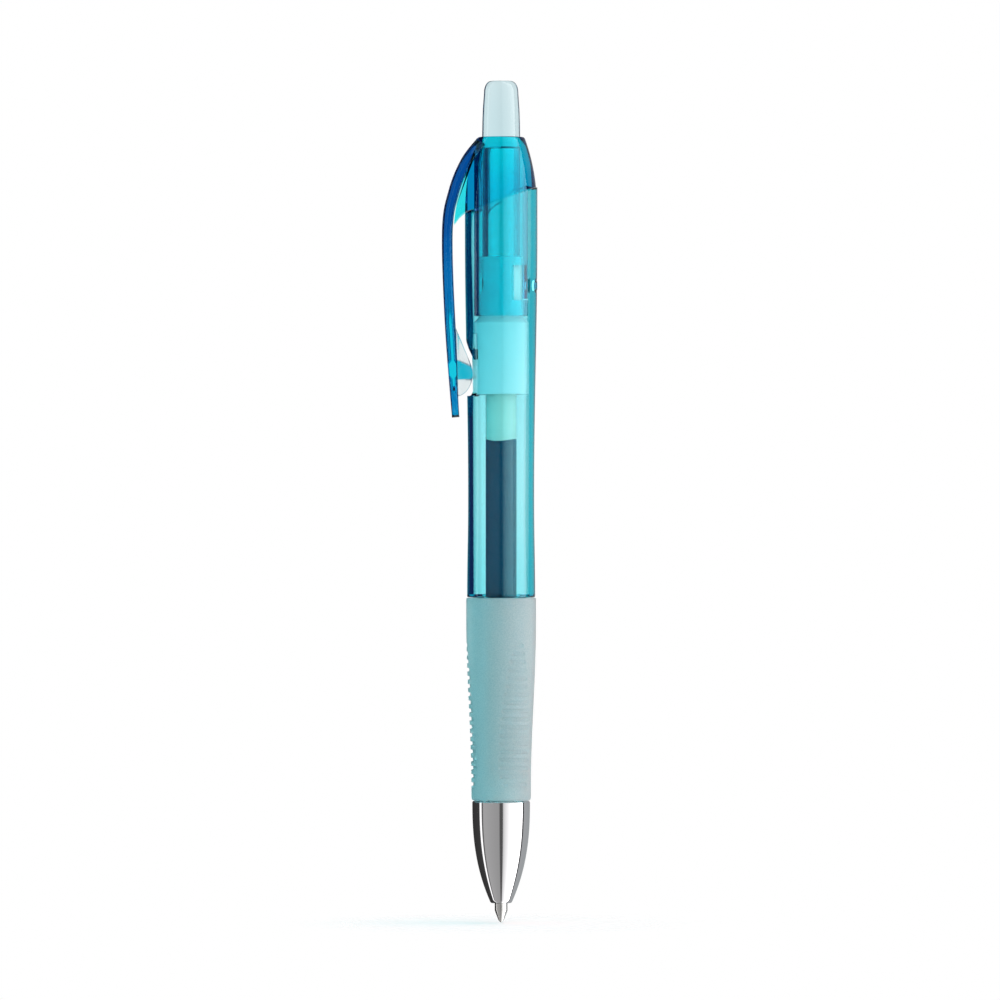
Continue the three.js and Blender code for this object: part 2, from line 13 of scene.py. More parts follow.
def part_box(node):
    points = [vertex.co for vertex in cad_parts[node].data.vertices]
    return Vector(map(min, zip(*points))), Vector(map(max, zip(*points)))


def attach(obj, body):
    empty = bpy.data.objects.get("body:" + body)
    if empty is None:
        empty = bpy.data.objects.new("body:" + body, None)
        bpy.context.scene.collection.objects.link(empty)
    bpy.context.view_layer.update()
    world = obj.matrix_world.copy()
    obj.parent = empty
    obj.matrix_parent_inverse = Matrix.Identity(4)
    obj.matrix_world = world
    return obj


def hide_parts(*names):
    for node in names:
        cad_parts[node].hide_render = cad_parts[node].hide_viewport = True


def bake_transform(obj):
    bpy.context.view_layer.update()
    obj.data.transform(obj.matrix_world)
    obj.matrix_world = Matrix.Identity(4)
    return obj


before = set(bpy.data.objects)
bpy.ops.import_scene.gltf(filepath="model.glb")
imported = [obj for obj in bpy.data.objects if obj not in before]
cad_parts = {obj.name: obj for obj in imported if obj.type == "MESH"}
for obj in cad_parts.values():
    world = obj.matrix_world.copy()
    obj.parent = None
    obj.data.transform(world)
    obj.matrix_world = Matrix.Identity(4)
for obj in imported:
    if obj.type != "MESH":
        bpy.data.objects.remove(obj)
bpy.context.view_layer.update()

# -------------------- places taken from the frame, in millimetres

MM = 0.001


def span(node):
    """Lowest and highest z of a CAD node, in millimetres."""
    low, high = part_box(node)
    return low[2] / MM, high[2] / MM


def radius(node):
    """Largest radius of a round CAD node, in millimetres."""
    low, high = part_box(node)
    return (high[1] - low[1]) / 2 / MM


tip_low, tip_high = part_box("writing_tip")
AXIS_X = (tip_low[0] + tip_high[0]) / 2

Z_MOUTH, Z_NOSE_TOP = span("nose_cone")
Z_GRIP, Z_GRIP_TOP = span("grip")
Z_BARREL = Z_GRIP_TOP + 0.1
Z_SPIGOT, Z_CAP = span("cap")
Z_BUTTON, Z_TOP = span("push_button")
Z_HOUSING, Z_NECK = span("cam_housing")
Z_TUBE, Z_TUBE_TOP = span("refill_tube")
Z_INK, Z_MENISCUS = span("ink_column")
Z_FOLLOWER_TOP = span("grease_follower")[1]
Z_SHANK_TOP = span("writing_tip")[1]
Z_SPRING, Z_SPRING_TOP = span("return_spring")
Z_STEM = span("barrel")[0]
Z_CLIP_END, Z_SPLIT = span("clip")

BARREL_R = radius("barrel")
GRIP_R = radius("grip")
NOSE_R = radius("nose_cone")
TUBE_R = radius("refill_tube")
HOUSING_R = radius("cam_housing")
ROTOR_R = radius("cam_rotor")
SHANK_R = radius("writing_tip")
BALL_R = radius("writing_ball")
CLIP_REACH = AXIS_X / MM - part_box("clip")[0][0] / MM

# The oblique joint between barrel and cap
SLANT = 0.355
SEAM = 0.1
Z_JOINT = span("barrel")[1] + SEAM - SLANT * BARREL_R

# -------------------- walls, bores and fits, in millimetres

BORE_R = 4.97
BORE_STEP = 0.33  # the barrel's bore is wider by this around the cap's spigot
STEM_R = 4.35
STEM_BORE_R = 3.3
THREAD_R = 3.9
SPIGOT_R = 4.72
SPIGOT_BORE_R = 3.96
CAP_TOP_R = 4.07
NECK_R = 3.86
NECK_BORE_R = 3.45
HOUSING_WALL = 0.92
HOUSING_BORE_R = HOUSING_R - HOUSING_WALL
BUTTON_R = 3.33
BUTTON_BORE_R = 2.35
TUBE_BORE_R = 2.2
INK_BORE_R = 0.45
NOSE_BORE_R = 2.6
MOUTH_R = 1.82
MOUTH_BORE_R = 1.25
NUB_R = 1.15
GAP = 0.1  # between pieces that fit into each other
BUTTON_GAP = 0.12
NUB_GAP = 0.15
WINDOW_LOW = Z_HOUSING - 0.3
WINDOW_HIGH = Z_HOUSING + 6
WINDOW_WIDTH = 6.7
WINDOW_RISE = 4  # how far the window's sloped top reaches up the outside of the barrel
Z_SHOULDER = Z_SPIGOT - 0.2  # where the housing steps in to its neck
Z_NUB = Z_SPIGOT + 5.3

ROUND = 128  # sides of a turned piece
TINY = 1e-6  # a length below this counts as nothing


# -------------------- mesh helpers, which build in millimetres on the axis


def ease(u):
    """Goes smoothly from 0 to 1 while u does."""
    return (1 - math.cos(math.pi * min(max(u, 0), 1))) / 2


def steps(start, end, count):
    return [start + (end - start) * i / count for i in range(count + 1)]


def polar(r, angle, z):
    return r * math.cos(angle), r * math.sin(angle), z


def full_turn(sides):
    """Angles of the corners of a round section."""
    return [2 * math.pi * k / sides for k in range(sides)]


def quarter(middle, r, start, count=6):
    """Points on a quarter of a circle, from a starting angle in degrees."""
    angles = [math.radians(start + 90 * k / count) for k in range(count + 1)]
    return [(middle[0] + r * math.cos(a), middle[1] + r * math.sin(a)) for a in angles]


def smooth_curve(knots, each):
    """Catmull-Rom curve through the knots, with so many points for each stretch."""
    points = []
    padded = [knots[0], *knots, knots[-1]]
    for i in range(1, len(padded) - 2):
        p0, p1, p2, p3 = (Vector(p) for p in padded[i - 1 : i + 3])
        for k in range(each):
            t = k / each
            q = 0.5 * (
                2 * p1 + (p2 - p0) * t + (2 * p0 - 5 * p1 + 4 * p2 - p3) * t * t
                + (3 * p1 - p0 - 3 * p2 + p3) * t**3
            )
            points.append((q.x, q.y))
    points.append(tuple(knots[-1]))
    return points


def filleted(points, pieces=5):
    """Points given as (r, z) stay sharp; those given as (r, z, size) get a round corner of that size."""
    out = []
    for i, (r, z, *size) in enumerate(points):
        if not size:
            out.append((r, z))
            continue
        corner = Vector((r, z))
        before = Vector(points[i - 1][:2]) - corner
        after = Vector(points[(i + 1) % len(points)][:2]) - corner
        start = corner + before.normalized() * min(size[0], 0.49 * before.length)
        end = corner + after.normalized() * min(size[0], 0.49 * after.length)
        for t in steps(0, 1, pieces):
            q = (1 - t) ** 2 * start + 2 * t * (1 - t) * corner + t * t * end
            out.append((q.x, q.y))
    return out


def new_object(name, mesh):
    obj = bpy.data.objects.new(name, mesh)
    bpy.context.scene.collection.objects.link(obj)
    return obj


def face_out(obj):
    """Point the faces of a closed mesh outwards."""
    work = bmesh.new()
    work.from_mesh(obj.data)
    bmesh.ops.recalc_face_normals(work, faces=work.faces)
    if work.calc_volume(signed=True) < 0:
        bmesh.ops.reverse_faces(work, faces=work.faces)
    work.to_mesh(obj.data)
    work.free()
    return obj


def closed_object(name, verts, faces):
    mesh = bpy.data.meshes.new(name)
    mesh.from_pydata(verts, [], faces)
    return face_out(new_object(name, mesh))


def loft(name, rings, closed=False):
    """A skin over rings of points: the last ring meets the first, or both ends are filled."""
    sides = len(rings[0])
    verts = [point for ring in rings for point in ring]
    starts = [i * sides for i in range(len(rings))]
    pairs = list(zip(starts, starts[1:]))
    faces = []
    if closed:
        pairs.append((starts[-1], starts[0]))
    else:
        faces += [tuple(range(start, start + sides)) for start in (starts[0], starts[-1])]
    for a, b in pairs:
        for k in range(sides):
            n = (k + 1) % sides
            faces.append((a + k, a + n, b + n, b + k))
    return closed_object(name, verts, faces)


def turned(name, points, sides=ROUND):
    """A profile of (r, z) points turned around the axis.

    It closes on itself, or starts and ends on the axis.
    """
    verts, rings = [], []
    for r, z in filleted(points):
        if r < TINY:
            rings.append([len(verts)] * sides)
            verts.append((0, 0, z))
        else:
            rings.append(list(range(len(verts), len(verts) + sides)))
            verts += [polar(r, angle, z) for angle in full_turn(sides)]
    faces = []
    for a, b in zip(rings, rings[1:] + rings[:1]):
        if len(set(a)) == 1 and len(set(b)) == 1:
            continue
        for k in range(sides):
            n = (k + 1) % sides
            quad = [a[k], a[n], b[n], b[k]]
            faces.append([v for j, v in enumerate(quad) if v != quad[j - 1]])
    return closed_object(name, verts, faces)


def rod(name, r, low, high, sides=ROUND):
    return turned(name, [(0, low), (r, low), (r, high), (0, high)], sides)


def cross_pin(name, r, from_x, to_x, z, dome=0.0):
    """A round bar along x with a domed outer end."""
    sides = 48
    flat_r = 0.6 * r
    obj = turned(name, [(0, from_x), (r, from_x), (r, to_x - dome, dome), (flat_r, to_x), (0, to_x)], sides)
    obj.data.transform(Matrix.Rotation(math.pi / 2, 4, "Y"))
    obj.data.transform(Matrix.Translation((0, 0, z)))
    return face_out(obj)


def sector(name, inner, outer, middle, half, low, high, count=12):
    """Part of a ring, from half degrees before to half degrees after the middle angle."""
    rings = []
    for degrees in steps(middle - half, middle + half, count):
        a = math.radians(degrees)
        rings.append([polar(r, a, z) for r, z in ((inner, low), (outer, low), (outer, high), (inner, high))])
    return loft(name, rings)


def slab(name, outline, width, bevel=0.0):
    """A closed (x, z) outline given thickness across y, with its edges rounded by the bevel."""
    work = bmesh.new()
    verts = [work.verts.new((x, -width / 2, z)) for x, z in outline]
    face = work.faces.new(verts)
    moved = bmesh.ops.extrude_face_region(work, geom=[face])
    top = [v for v in moved["geom"] if isinstance(v, bmesh.types.BMVert)]
    bmesh.ops.translate(work, verts=top, vec=(0, width, 0))
    bmesh.ops.recalc_face_normals(work, faces=work.faces)
    if bevel:
        edges = [e for e in work.edges if abs(e.verts[0].co.y - e.verts[1].co.y) < TINY]
        bmesh.ops.bevel(work, geom=edges, offset=bevel, segments=3, profile=0.5, affect="EDGES")
    mesh = bpy.data.meshes.new(name)
    work.to_mesh(mesh)
    work.free()
    return face_out(new_object(name, mesh))


def front_slab(name, outline, reach):
    """A closed (y, z) outline given depth from the axis out towards the clip."""
    obj = slab(name, outline, reach)
    obj.data.transform(Matrix.Translation((0, -reach / 2, 0)))
    obj.data.transform(Matrix.Rotation(math.pi / 2, 4, "Z"))
    obj.data.transform(Matrix.Scale(-1, 4, (1, 0, 0)))
    return face_out(obj)


def rounded_rect(half_width, low, high, corner):
    across, bottom, top = half_width - corner, low + corner, high - corner
    middles = [(across, top), (-across, top), (-across, bottom), (across, bottom)]
    points = []
    for i, middle in enumerate(middles):
        points += quarter(middle, corner, 90 * i)
    return points


def combine(target, tool, operation):
    """Join, cut or intersect two closed meshes; the tool is used up."""
    modifier = target.modifiers.new("combine", "BOOLEAN")
    modifier.operation = operation
    modifier.object = tool
    modifier.solver = "MANIFOLD"
    bpy.context.view_layer.update()
    evaluated = target.evaluated_get(bpy.context.evaluated_depsgraph_get())
    mesh = bpy.data.meshes.new_from_object(evaluated)
    old = target.data
    target.modifiers.clear()
    target.data = mesh
    mesh.name = target.name
    bpy.data.meshes.remove(old)
    bpy.data.objects.remove(tool)
    return target


def cut(target, *tools):
    for tool in tools:
        combine(target, tool, "DIFFERENCE")
    return target


def join(target, *tools):
    for tool in tools:
        combine(target, tool, "UNION")
    return target


def meet(target, tool):
    return combine(target, tool, "INTERSECT")


def place(obj, material, body, nodes, crease=32):
    """Move a finished piece from millimetres on the axis into the frame, and say what it stands for.

    A blended piece has no body of its own, and a piece that only adds to another stands for no node.
    """
    obj.data.transform(Matrix.Translation((AXIS_X, 0, 0)) @ Matrix.Scale(MM, 4))
    obj.data.shade_smooth()
    obj.data.set_sharp_from_angle(angle=math.radians(crease))
    obj.data.materials.clear()
    obj.data.materials.append(material)
    if body:
        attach(obj, body)
    if nodes:
        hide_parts(*nodes)
    return obj


# -------------------- outside profiles


def nose_radius(z):
    down = max((Z_GRIP - z) / (Z_GRIP - Z_MOUTH), 0)
    return NOSE_R - (NOSE_R - MOUTH_R) * down**2.5


def grip_radius(z):
    """Slim at the foot, with a long swell that ends a little below the top."""
    foot_r, foot, head = 5.2, 1.7, 3.8
    up = (z - Z_GRIP - foot) / (Z_GRIP_TOP - Z_GRIP - foot - head)
    return foot_r + (GRIP_R - foot_r) * ease(up)


def barrel_radius(z):
    """A waist near the grip, and the full radius near the cap."""
    waist, foot = 5.77, 5.95
    up = (z - Z_BARREL) / (Z_JOINT - Z_BARREL)
    return waist + (foot - waist) * (1 - ease(up / 0.24)) + (BARREL_R - waist) * ease((up - 0.26) / 0.66)


def cap_radius(z):
    """Goes on from the barrel's radius and curves in to the cap's top."""
    start = Z_JOINT - 3.45
    up = max((z - start) / (Z_CAP - start), 0)
    return BARREL_R - (BARREL_R - CAP_TOP_R) * up**2.4


# -------------------- material helpers


def principled(name, colour, roughness, **sockets):
    material = bpy.data.materials.new(name)
    material.use_nodes = True
    shader = material.node_tree.nodes["Principled BSDF"]
    shader.inputs["Base Color"].default_value = (*colour, 1)
    shader.inputs["Roughness"].default_value = roughness
    for socket, value in sockets.items():
        shader.inputs[socket.replace("_", " ")].default_value = value
    return material, shader, material.node_tree


def feed(tree, socket, source):
    """Link another node's output to a socket, or give the socket a fixed value."""
    if isinstance(source, bpy.types.NodeSocket):
        tree.links.new(source, socket)
    else:
        socket.default_value = source


def noise(tree, scale, detail=3.0, stretch=(1, 1, 1)):
    """Object-space noise; scale is in cells per metre."""
    where = tree.nodes.new("ShaderNodeTexCoord")
    mapping = tree.nodes.new("ShaderNodeMapping")
    mapping.inputs["Scale"].default_value = stretch
    texture = tree.nodes.new("ShaderNodeTexNoise")
    texture.inputs["Scale"].default_value = scale
    texture.inputs["Detail"].default_value = detail
    tree.links.new(where.outputs["Object"], mapping.inputs["Vector"])
    tree.links.new(mapping.outputs["Vector"], texture.inputs["Vector"])
    return texture.outputs["Fac"]


def remap(tree, value, low, high, start=0.0, end=1.0, interpolation="LINEAR"):
    """Turn a value that runs from start to end into one that runs from low to high."""
    node = tree.nodes.new("ShaderNodeMapRange")
    node.interpolation_type = interpolation
    node.inputs["From Min"].default_value = start
    node.inputs["From Max"].default_value = end
    node.inputs["To Min"].default_value = low
    node.inputs["To Max"].default_value = high
    tree.links.new(value, node.inputs["Value"])
    return node.outputs["Result"]


def calculate(tree, operation, first, second):
    node = tree.nodes.new("ShaderNodeMath")
    node.operation = operation
    feed(tree, node.inputs[0], first)
    feed(tree, node.inputs[1], second)
    return node.outputs["Value"]


def mix_colours(tree, share, first, second):
    """The first colour where the share is 0, the second where it is 1 or more."""
    node = tree.nodes.new("ShaderNodeMixRGB")
    feed(tree, node.inputs["Fac"], share)
    feed(tree, node.inputs["Color1"], first)
    feed(tree, node.inputs["Color2"], second)
    return node.outputs["Color"]


def uneven(tree, shader, texture, low, high):
    """Let the roughness wander between two values."""
    tree.links.new(remap(tree, texture, low, high), shader.inputs["Roughness"])


# -------------------- materials


def clear_plastic(name, absorb, roughness=0.02, gloss=(1, 1, 1)):
    """Transparent plastic: absorb is the loss per millimetre in red, green and blue."""
    material, shader, tree = principled(
        name, (1, 1, 1), roughness, Transmission_Weight=1.0, IOR=1.5, Specular_Tint=(*gloss, 1)
    )
    volume = tree.nodes.new("ShaderNodeVolumeAbsorption")
    density = max(absorb)
    volume.inputs["Color"].default_value = (*[1 - a / density for a in absorb], 1)
    volume.inputs["Density"].default_value = density / MM
    tree.links.new(volume.outputs["Volume"], tree.nodes["Material Output"].inputs["Volume"])
    uneven(tree, shader, noise(tree, 900, 4, (1, 1, 0.2)), roughness, roughness + 0.03)
    return material


def milky_plastic():
    material, shader, tree = principled(
        "milky_plastic", (0.92, 0.98, 0.98), 0.35, Transmission_Weight=0.15, IOR=1.3
    )
    uneven(tree, shader, noise(tree, 350), 0.3, 0.42)
    return material


def mint_grease():
    material, shader, tree = principled(
        "mint_grease", (0.92, 1.0, 0.9), 0.6, Specular_IOR_Level=0.1, IOR=1.2
    )
    uneven(tree, shader, noise(tree, 500, 4, (1, 1, 0.4)), 0.5, 0.7)
    return material


def gel_ink():
    material, shader, tree = principled("gel_ink", (0.0, 0.075, 0.15), 0.6, Specular_IOR_Level=0.1)
    uneven(tree, shader, noise(tree, 500, 4, (1, 1, 0.15)), 0.5, 0.7)
    return material


def grip_rubber():
    """Frosted rubber with a fine grain, in its surface and in its colour."""
    material, shader, tree = principled(
        "grip_rubber", (0.53, 0.86, 0.89), 0.45, Transmission_Weight=0.6, IOR=1.25
    )
    grain = noise(tree, 5000)
    raised = tree.nodes.new("ShaderNodeBump")
    raised.inputs["Strength"].default_value = 0.6
    raised.inputs["Distance"].default_value = 0.04 * MM
    tree.links.new(grain, raised.inputs["Height"])
    tree.links.new(raised.outputs["Normal"], shader.inputs["Normal"])
    uneven(tree, shader, grain, 0.38, 0.52)
    speckle = mix_colours(tree, grain, (0.34, 0.6, 0.64, 1), (0.86, 1.0, 1.0, 1))
    tree.links.new(speckle, shader.inputs["Base Color"])
    return material


def nose_chrome():
    material, shader, tree = principled("nose_chrome", (0.8, 0.79, 0.8), 0.06, Metallic=1.0)
    uneven(tree, shader, noise(tree, 2500, 3, (1, 1, 0.05)), 0.03, 0.08)
    return material


def turned_metal(name):
    """Metal with fine marks that run around the axis."""
    material, shader, tree = principled(name, (0.75, 0.74, 0.72), 0.18, Metallic=1.0)
    uneven(tree, shader, noise(tree, 3000, 2, (0.05, 0.05, 3)), 0.12, 0.25)
    return material


BLUE_GLOSS = (0.3, 0.9, 1.0)
TINT = clear_plastic("tinted_plastic", (0.68, 0.12, 0.08), gloss=(0.8, 0.95, 1.0))
DEEP = clear_plastic("blue_plastic", (3.0, 0.15, 0.065), gloss=BLUE_GLOSS)
CLEAR = clear_plastic("clear_plastic", (0.077, 0.035, 0.027))
ARM = clear_plastic("clip_plastic", (3.0, 0.29, 0.12), gloss=BLUE_GLOSS)
PALE = clear_plastic("pale_plastic", (0.11, 0.06, 0.05), roughness=0.2)
TUBE = clear_plastic("refill_plastic", (0.03, 0.01, 0.01))
MILKY = milky_plastic()
MINT = mint_grease()
INK = gel_ink()
RUBBER = grip_rubber()
CHROME = nose_chrome()
TIP = turned_metal("tip_metal")
WIRE = turned_metal("spring_wire")

# -------------------- outside pieces


def make_nose_cone():
    seat = Z_MOUTH + 4.2
    socket = Z_STEM - 0.3
    edge = 0.12
    obj = turned("nose_cone_shell", [
        (NOSE_R - 0.15, Z_NOSE_TOP),
        *[(nose_radius(z), z) for z in steps(Z_NOSE_TOP - 0.15, Z_MOUTH + edge, 40)],
        (nose_radius(Z_MOUTH) - edge, Z_MOUTH),
        (MOUTH_BORE_R, Z_MOUTH, 0.1),
        (MOUTH_BORE_R, seat),
        (NOSE_BORE_R, seat),
        (NOSE_BORE_R, socket - 1.2),
        (THREAD_R + GAP, socket),
        (THREAD_R + GAP, Z_NOSE_TOP),
    ])
    place(obj, CHROME, "root", ["nose_cone"])


# The grip's grooves
GROOVE_PITCH = 1.43
GROOVE = 0.62
GROOVES = 18
Z_GROOVE = Z_GRIP + 2.9


def groove_half_length(z):
    """Short near the top, longest near the foot, and a little shorter at the very end."""
    up = (z - Z_GROOVE) / 24.4
    narrowing = 0.66 * max((up - 0.35) / 0.65, 0) ** 1.6
    foot = 0.2 * max(1 - up / 0.12, 0)
    return 3.15 * (1 - narrowing) * (1 - foot)


def grip_heights():
    """Levels of the grip's mesh: close together at its rounded ends and at the edges of each groove."""
    heights = [Z_GRIP + up for up in (0.02, 0.08, 0.2, 0.36, 0.6)]
    heights += steps(Z_GRIP + 1.0, Z_GROOVE - 0.7, 3)
    upper = [GROOVE / 2 + up for up in (-0.09, -0.05, -0.01, 0.03, 0.08)]
    edges = [-up for up in reversed(upper)] + [0] + upper
    for i in range(GROOVES):
        heights += [Z_GROOVE + i * GROOVE_PITCH + up for up in edges]
    heights += steps(Z_GROOVE + GROOVES * GROOVE_PITCH, Z_GRIP_TOP - 0.35, 14)
    heights += [Z_GRIP_TOP - down for down in (0.2, 0.1, 0.03, 0)]
    return heights


def grip_rounding(z):
    """How far the grip's surface draws in towards its two ends."""
    low_height, high_height = 0.55, 0.3
    low = max(1 - (z - Z_GRIP) / low_height, 0)
    high = max(1 - (Z_GRIP_TOP - z) / high_height, 0)
    return 0.5 * (1 - math.sqrt(1 - low * low)) + 0.22 * (1 - math.sqrt(1 - high * high))


def groove_depth(z, angle):
    """Depth of the grooves with round ends: deep on the clip's side, shallow on the other two pads."""
    index = round((z - Z_GROOVE) / GROOVE_PITCH)
    if not 0 <= index < GROOVES:
        return 0.0
    middle = Z_GROOVE + index * GROOVE_PITCH
    straight = groove_half_length(middle) - GROOVE / 2
    depth = 0.0
    for pad, deep in ((math.pi, 0.34), (math.pi / 3, 0.17), (-math.pi / 3, 0.17)):
        across = abs(math.remainder(angle - pad, 2 * math.pi)) * grip_radius(z)
        outside = math.hypot(max(across - straight, 0), z - middle) - GROOVE / 2
        depth = max(depth, deep * ease(0.5 - outside / 0.1))
    return depth


def make_grip():
    """The rubber sleeve, with three pads of short cross grooves."""
    angles = full_turn(288)
    rings = []
    for z in grip_heights():
        r = grip_radius(z) - grip_rounding(z)
        rings.append([polar(r - groove_depth(z, angle), angle, z) for angle in angles])
    for z in (Z_GRIP_TOP, Z_GRIP + 0.02):
        rings.append([polar(STEM_R + GAP, angle, z) for angle in angles])
    obj = loft("grip_sleeve", rings, closed=True)
    place(obj, RUBBER, "root", ["grip"], crease=50)


def above_joint(lift):
    """All the space above the oblique joint, moved up by the lift."""
    far, sky = 20, 300
    low, high = (Z_JOINT + lift + SLANT * x for x in (-far, far))
    return slab("joint_tool", [(-far, low), (far, high), (far, sky), (-far, sky)], 2 * far)


def window_tool():
    """What the window takes out of the barrel: a slot for the clip's nose, with a sloped top."""
    key_r = HOUSING_BORE_R + 0.5
    face = barrel_radius(WINDOW_HIGH + 3.6)
    high = WINDOW_HIGH + WINDOW_RISE
    side = slab("window_side", [
        (-2 * BARREL_R, WINDOW_LOW),
        (-3.4, WINDOW_LOW),
        (-3.4, WINDOW_HIGH),
        (-key_r - 0.25, WINDOW_HIGH),
        (-BORE_R - 0.2, WINDOW_HIGH + 0.9),
        (-face + 0.42, WINDOW_HIGH + 2.1),
        (-face + 0.12, WINDOW_HIGH + 3.0),
        (-face - 0.1, high),
        (-2 * BARREL_R, high),
    ], 2 * BARREL_R)
    outline = rounded_rect(WINDOW_WIDTH / 2, WINDOW_LOW, high, 1.1)
    return meet(side, front_slab("window_front", outline, 2 * BARREL_R))


def make_barrel():
    top = Z_JOINT + SLANT * BARREL_R
    floor = Z_BARREL + 0.5
    edge = 0.15
    obj = turned("barrel_body", [
        (STEM_BORE_R, Z_STEM, 0.1),
        (THREAD_R, Z_STEM, 0.2),
        (THREAD_R, Z_GRIP),
        (STEM_R, Z_GRIP, 0.1),
        (STEM_R, Z_BARREL, 0.1),
        (barrel_radius(Z_BARREL) - edge, Z_BARREL),
        *[(barrel_radius(z), z) for z in steps(Z_BARREL + edge, top, 60)],
        (BORE_R + BORE_STEP, top),
        (BORE_R + BORE_STEP, Z_SPIGOT + 12),
        (BORE_R, Z_SPIGOT - 1),
        (BORE_R, Z_HOUSING - 2),
        (BORE_R - 0.12, floor),
        (STEM_BORE_R, floor),
    ])
    lip = sector("lip", HOUSING_BORE_R + 0.5, BORE_R + 0.4, 180, 38, WINDOW_HIGH + 0.05, WINDOW_HIGH + 1.8)
    hole = cross_pin("nub_hole", NUB_R + NUB_GAP, BORE_R - 1, BARREL_R + 1, Z_NUB)
    join(obj, lip)
    cut(obj, window_tool(), hole, above_joint(-SEAM))
    place(obj, TINT, "root", ["barrel"], crease=28)


# -------------------- cap and clip

Z_ARCH = Z_CAP - 15.9
Z_RIB_LOW = WINDOW_LOW + 2.9
Z_RIB_HIGH = WINDOW_LOW + 6.2
TAIL = 3.6  # height of the clip's round end


def clip_path():
    """The clip's outer face, seen from the side, as (x, z) from the cap's top to the clip's end."""
    knots = [
        (-4.2, Z_CAP - 0.3),
        (-0.675 * CLIP_REACH, Z_CAP - 4),
        (-0.885 * CLIP_REACH, Z_CAP - 9.3),
        (-CLIP_REACH, Z_CAP - 16.4),
        (-0.955 * CLIP_REACH, Z_CAP - 32.4),
        (-8.6, Z_CLIP_END),
    ]
    return smooth_curve(knots, 28)


def clip_half_width(z):
    """Seen from the front: wide at the root, narrowing into the arm, round at the end."""
    knots = [
        (Z_CLIP_END + TAIL, 2.62),
        (Z_CLIP_END + 12.3, 3.0),
        (Z_CAP - 27.4, 3.15),
        (Z_CAP - 23.4, 3.35),
        (Z_CAP - 18.8, 3.85),
        (Z_CAP - 15.2, 4.4),
        (Z_CAP - 12.5, 4.5),
        (Z_CAP - 2.6, 4.5),
        (Z_CAP, 3.7),
    ]
    if z <= knots[0][0]:
        down = min((knots[0][0] - z) / TAIL, 1)
        return knots[0][1] * math.sqrt(max(1 - down**2.4, 0))
    for (z0, w0), (z1, w1) in zip(knots, knots[1:]):
        if z <= z1:
            return w0 + (w1 - w0) * ease((z - z0) / (z1 - z0))
    return knots[-1][1]


def clip_thickness(z):
    return 1.3 + 0.55 * ease((z - Z_CLIP_END) / 14)


def clip_section(z):
    """The skin's section at a height, as (across, depth below the outer face).

    It has a slot along each side, which is deep where the rib stands behind it.
    """
    thick = clip_thickness(z)
    half = max(clip_half_width(z), 0.3)
    hair = 0.02
    if Z_RIB_LOW < z < Z_RIB_HIGH:
        outer, inner = 0.12, 0.12
        slot_top, slot_foot = 0.2, thick - 0.2
        slot_depth = half - 0.8
    else:
        arm = 1 - ease((z - Z_ARCH) / 1.5)
        outer = min(0.38 * thick, 0.9 * half)
        inner = min((0.12 + 0.18 * arm) * thick, 0.9 * half)
        slot_top = outer + 0.05
        slot_foot = max(thick - inner - 0.05, slot_top + 0.05)
        share = 0.35 * ease((Z_SPLIT - 8 - z) / 6) * ease((z - Z_CLIP_END - 3) / 3)
        slot_depth = max(2 * half * share, 0.01)
    edge, floor = half - 0.005, half - slot_depth
    slot = [(edge, slot_foot), (floor, slot_foot - hair), (floor, slot_top + hair), (edge, slot_top)]
    return [
        *quarter((half - inner, thick - inner), inner, 0),
        *quarter((inner - half, thick - inner), inner, 90),
        *[(-across, deep) for across, deep in slot],
        *quarter((outer - half, outer), outer, 180),
        *quarter((half - outer, outer), outer, 270),
        *reversed(slot),
    ]


def between(path, low, high):
    """The part of a falling (x, z) path between two heights, with its ends cut exactly there."""
    part = []
    for (x0, z0), (x1, z1) in zip(path, path[1:]):
        for z in (high, low):
            if z0 > z > z1:
                part.append((x0 + (x1 - x0) * (z0 - z) / (z0 - z1), z))
        if low < z1 < high:
            part.append((x1, z1))
    return part


def make_strip(name, low, high):
    """The clip's skin: a rounded bar that follows the outer face between two heights."""
    path = between(clip_path(), low, high)
    rings = []
    for i, (x, z) in enumerate(path):
        before = Vector(path[max(i - 1, 0)])
        after = Vector(path[min(i + 1, len(path) - 1)])
        tangent = (after - before).normalized()
        inward = Vector((-tangent.y, tangent.x))
        section = clip_section(z)
        rings.append([(x + inward.x * deep, across, z + inward.y * deep) for across, deep in section])
    return loft(name, rings)


def make_clip_skin():
    """The clip's outer skin, from the cap's top to its round end.

    It bends below the arch, where it is free.
    """
    skin = make_strip("clip_skin", Z_CLIP_END + 0.01, Z_CAP - 0.3)
    low, high = Z_JOINT - 6, Z_CAP + 1
    around = [(cap_radius(z) + 0.03, z) for z in steps(low, Z_CAP, 40)]
    cut(skin, turned("cap_tool", [(0, low), *around, (around[-1][0], high), (0, high)]))
    place(skin, ARM, None, ["clip"], crease=30)
    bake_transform(skin)


def inside_skin(gap, high, low):
    """Points a gap inside the clip's skin, from one height down to another."""
    return [(x + gap + clip_thickness(z), z) for x, z in clip_path() if high > z > low]


def web_outline():
    """Side outline of the root between the cap and the skin, with an arch below."""
    lift = 0.02
    return [
        *inside_skin(0.2, Z_CAP - 3.2, Z_ARCH + 0.6),
        (-CLIP_REACH + 2.5, Z_ARCH + 1.2),
        (-CLIP_REACH + 3.0, Z_ARCH + 1.85),
        (-CLIP_REACH + 3.5, Z_ARCH + 2.3),
        (-BARREL_R, Z_JOINT + SLANT * -BARREL_R + lift),
        (-SPIGOT_R, Z_JOINT + SLANT * -SPIGOT_R + lift),
        (-SPIGOT_R, Z_CAP - 2.4),
    ]


def hollow_outline():
    """The open space under the skin, from the arch up to a point."""
    wall_x = -5.85
    low = Z_ARCH - 2
    return [
        *inside_skin(-0.6, Z_CAP - 6.2, low),
        (wall_x, low),
        (wall_x, Z_CAP - 7.2),
        (wall_x - 0.25, Z_CAP - 5.6),
    ]


